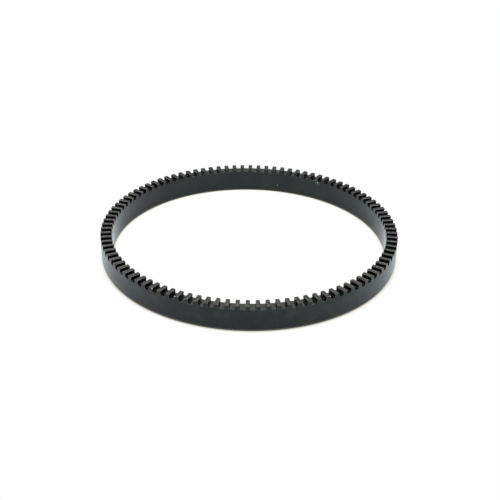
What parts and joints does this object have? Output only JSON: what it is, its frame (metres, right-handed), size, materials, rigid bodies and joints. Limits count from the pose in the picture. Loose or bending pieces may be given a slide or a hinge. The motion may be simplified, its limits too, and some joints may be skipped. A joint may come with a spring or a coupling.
{
  "type": "tone ring",
  "caption": "Toothed steel sensor ring for a truck wheel hub: a thin black ring, pressed on the hub, with square axial teeth that a wheel speed sensor reads.",
  "frame": {"origin": "centre of the ring, in the plane of its plain end", "axes": "+Z along the ring's axis from the plain end to the teeth; one tooth is centred on +X"},
  "size_m": [0.175, 0.175, 0.0155],
  "materials": {
    "blackened_steel": "satin black oxide over machined steel"
  },
  "bodies": {
    "root": {"tone_ring": "blackened_steel"}
  },
  "joints": []
}
